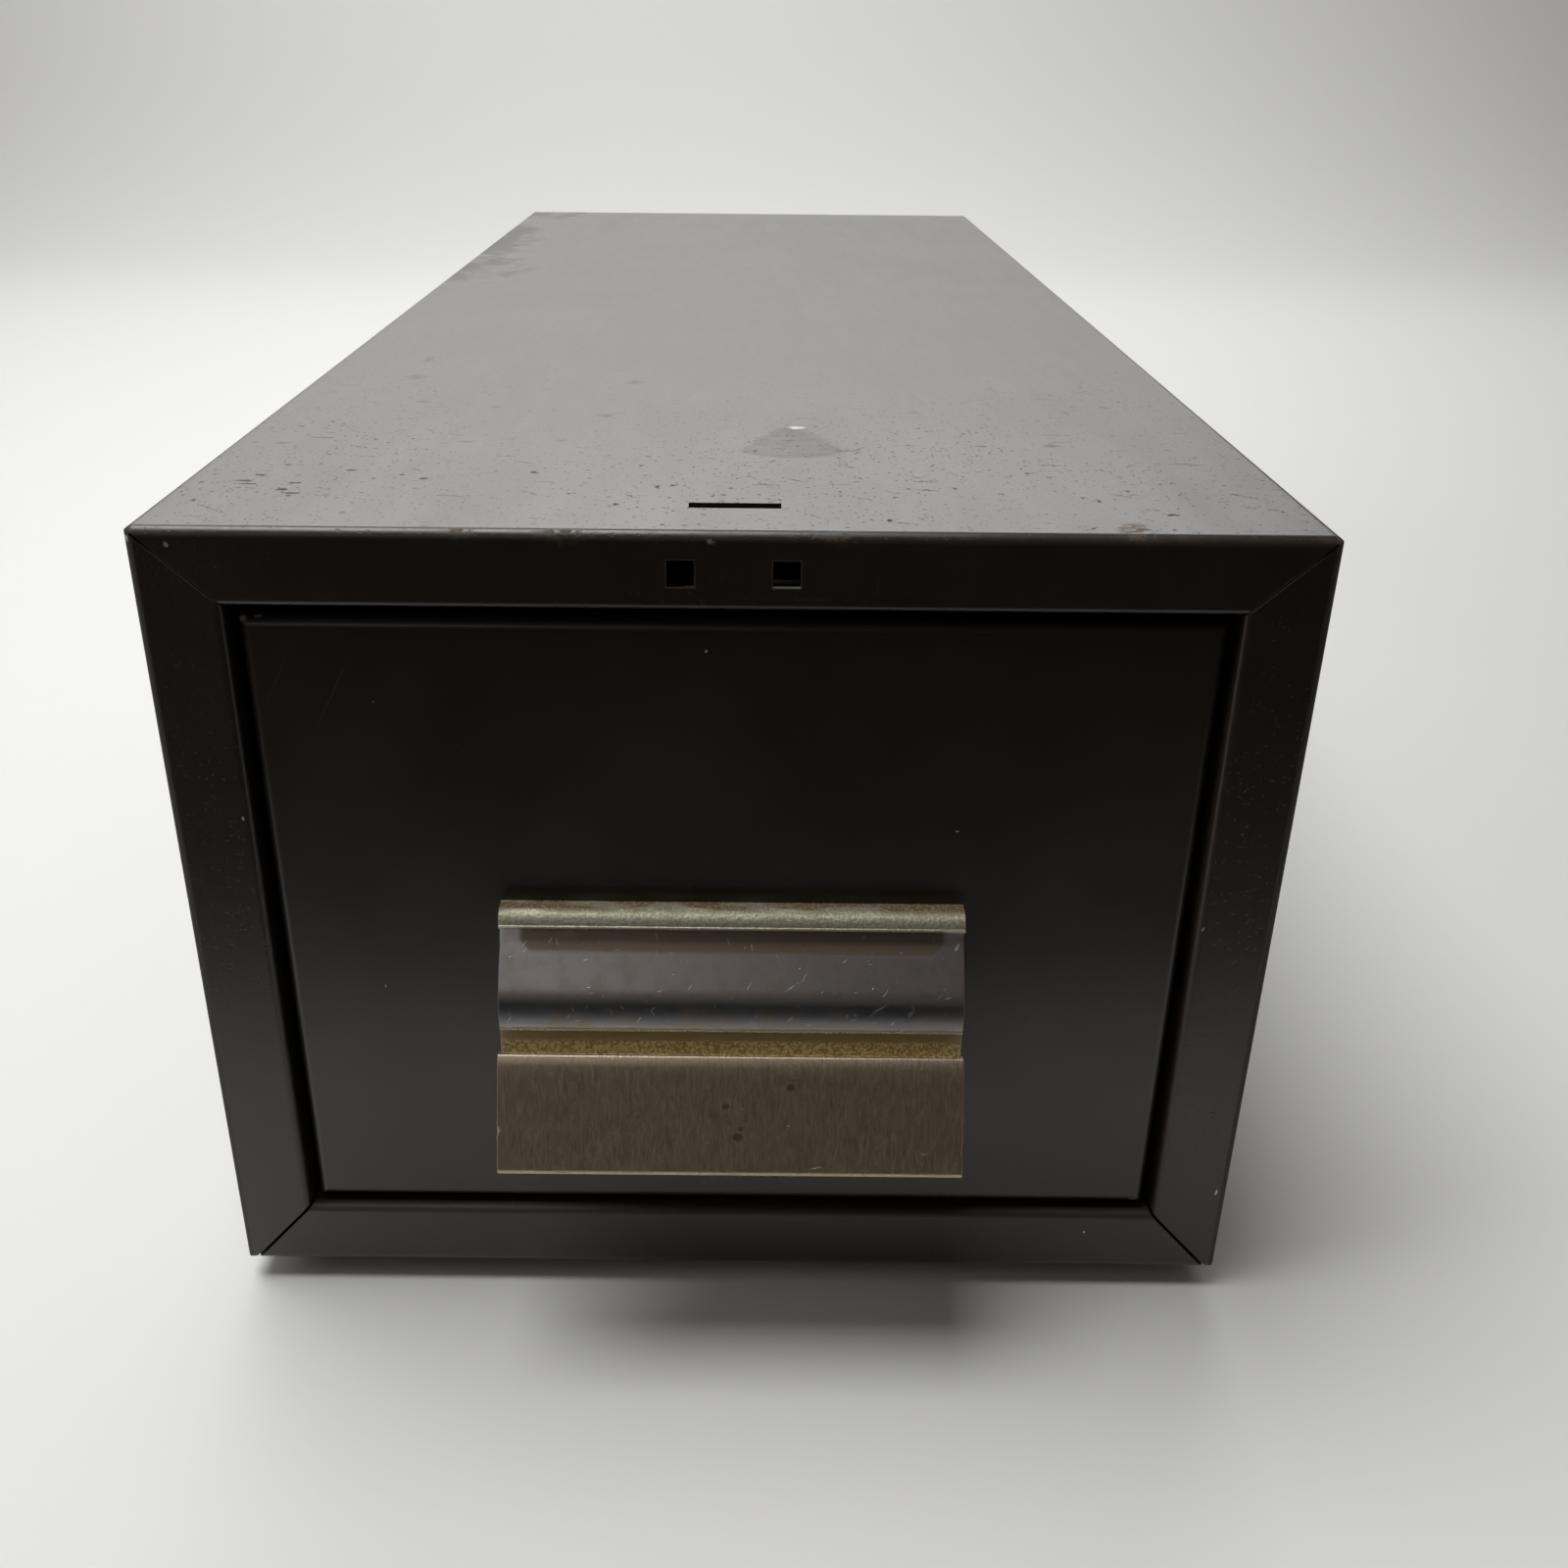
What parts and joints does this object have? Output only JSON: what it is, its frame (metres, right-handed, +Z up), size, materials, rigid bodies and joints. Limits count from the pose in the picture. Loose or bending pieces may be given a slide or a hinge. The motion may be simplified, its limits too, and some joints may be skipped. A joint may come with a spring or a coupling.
{
  "type": "card file drawer",
  "caption": "Desk card file: folded steel case on rubber feet with a sliding drawer, a metal label pull and a tilting card follower.",
  "frame": {"origin": "on the table, under the middle of the whole object's box", "axes": "+Z up, the drawer front faces -Y, +X to the right as seen from the front"},
  "size_m": [0.159, 0.4212, 0.128],
  "materials": {
    "case_paint": "worn satin enamel, dark warm grey",
    "inner_paint": "satin enamel, dark warm grey, rubbed where it slides",
    "pull_metal": "brushed aluminium, tarnished",
    "hardware": "plated steel, dull",
    "spring_steel": "blue-grey spring steel",
    "rubber": "matt black rubber"
  },
  "bodies": {
    "case": {"case_shell": "case_paint", "back_panel": "case_paint", "left_runner": "inner_paint", "right_runner": "inner_paint", "left_guide": "inner_paint", "right_guide": "inner_paint", "left_kicker": "inner_paint", "right_kicker": "inner_paint", "rubber_feet": "rubber", "foot_rivets": "hardware", "rear_bumpers": "rubber"},
    "drawer": {"drawer_front": "case_paint", "drawer_tray": "inner_paint", "drawer_back": "inner_paint", "drawer_pull": "pull_metal", "pull_screws": "hardware", "pull_washers": "hardware", "follower_track": "inner_paint", "track_rivets": "hardware", "stop_leaf": "spring_steel", "stop_rivets": "hardware"},
    "follower": {"follower_shoe": "spring_steel", "follower_pin": "hardware"},
    "card_plate": {"follower_plate": "inner_paint"}
  },
  "joints": [
    {"name": "drawer_slide", "type": "slide", "parent": "case", "child": "drawer", "axis": [0, -1, 0], "range_m": [0, 0.329]},
    {"name": "follower_slide", "type": "slide", "parent": "drawer", "child": "follower", "axis": [0, -1, 0], "range_m": [0, 0.285]},
    {"name": "plate_tilt", "type": "hinge", "parent": "follower", "child": "card_plate", "pos_m": [0, 0.1422, 0.0334], "axis": [1, 0, 0], "range_deg": [0, 25]}
  ]
}
